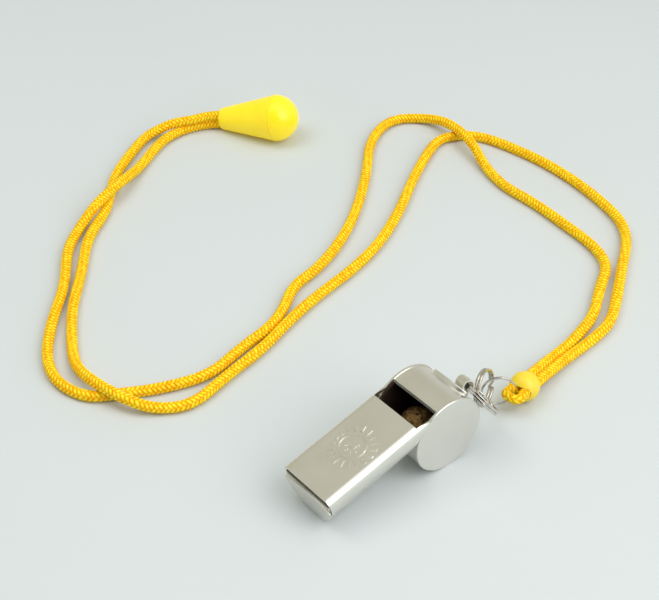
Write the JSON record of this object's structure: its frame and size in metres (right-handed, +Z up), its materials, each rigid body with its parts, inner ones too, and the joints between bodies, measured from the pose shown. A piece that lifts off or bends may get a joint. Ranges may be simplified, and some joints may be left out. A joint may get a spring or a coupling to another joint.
{
  "type": "training whistle",
  "caption": "Metal pea whistle with a raised paw emblem, split rings, and a doubled yellow braided lanyard with a round bead and a bell-shaped pull.",
  "frame": {"origin": "Centre of the foot of the box round the whistle and its three rings, on the surface that the whistle lies on", "axes": "+Z up from the surface. The whistle's tip points toward -X and its rings and cord leave toward +X. +Y runs along the drum's axis."},
  "size_m": [0.1841, 0.1834, 0.0218],
  "materials": {
    "whistle_metal": "satin nickel plate over brass",
    "ring_steel": "bright nickel-plated spring steel",
    "cork": "granulated cork",
    "cord": "braided polypropylene",
    "bead_plastic": "satin",
    "pull_plastic": "glossy moulded"
  },
  "bodies": {
    "whistle": {"mouthpiece_top": "whistle_metal", "mouthpiece_underside": "whistle_metal", "windway_floor": "whistle_metal", "tip_plate": "whistle_metal", "drum_band": "whistle_metal", "left_cheek": "whistle_metal", "right_cheek": "whistle_metal", "lanyard_lug": "whistle_metal", "cord_strand_a": "cord", "cord_strand_b": "cord", "end_knot": "cord"},
    "pea": {"cork_pea": "cork"},
    "lug_ring": {"lug_ring": "ring_steel"},
    "middle_ring": {"middle_ring": "ring_steel"},
    "cord_ring": {"cord_ring": "ring_steel"},
    "bead": {"bead": "bead_plastic"},
    "pull": {"pull_bell": "pull_plastic", "pull_cap": "pull_plastic"}
  },
  "joints": [
    {"name": "pea_orbit", "type": "hinge", "parent": "whistle", "child": "pea", "pos_m": [0.0054, 0.0013, 0.0109], "axis": [0, 1, 0], "continuous": true},
    {"name": "lug_ring_turn", "type": "hinge", "parent": "whistle", "child": "lug_ring", "pos_m": [0.0188, -0.0042, 0.0144], "axis": [0.7768, -0.141, 0.6138], "continuous": true},
    {"name": "middle_ring_turn", "type": "hinge", "parent": "whistle", "child": "middle_ring", "pos_m": [0.0253, 0.0004, 0.0104], "axis": [0.3849, -0.9088, 0.161], "continuous": true},
    {"name": "cord_ring_turn", "type": "hinge", "parent": "whistle", "child": "cord_ring", "pos_m": [0.03077, 0.00012, 0.00643], "axis": [0.6029, 0.7978, 0.002], "continuous": true},
    {"name": "bead_slide", "type": "slide", "parent": "whistle", "child": "bead", "axis": [0.962, 0.238, -0.134], "range_m": [0, 0.006]},
    {"name": "pull_slide", "type": "slide", "parent": "whistle", "child": "pull", "axis": [0.5271, -0.8252, 0.203], "range_m": [0, 0.003]}
  ]
}
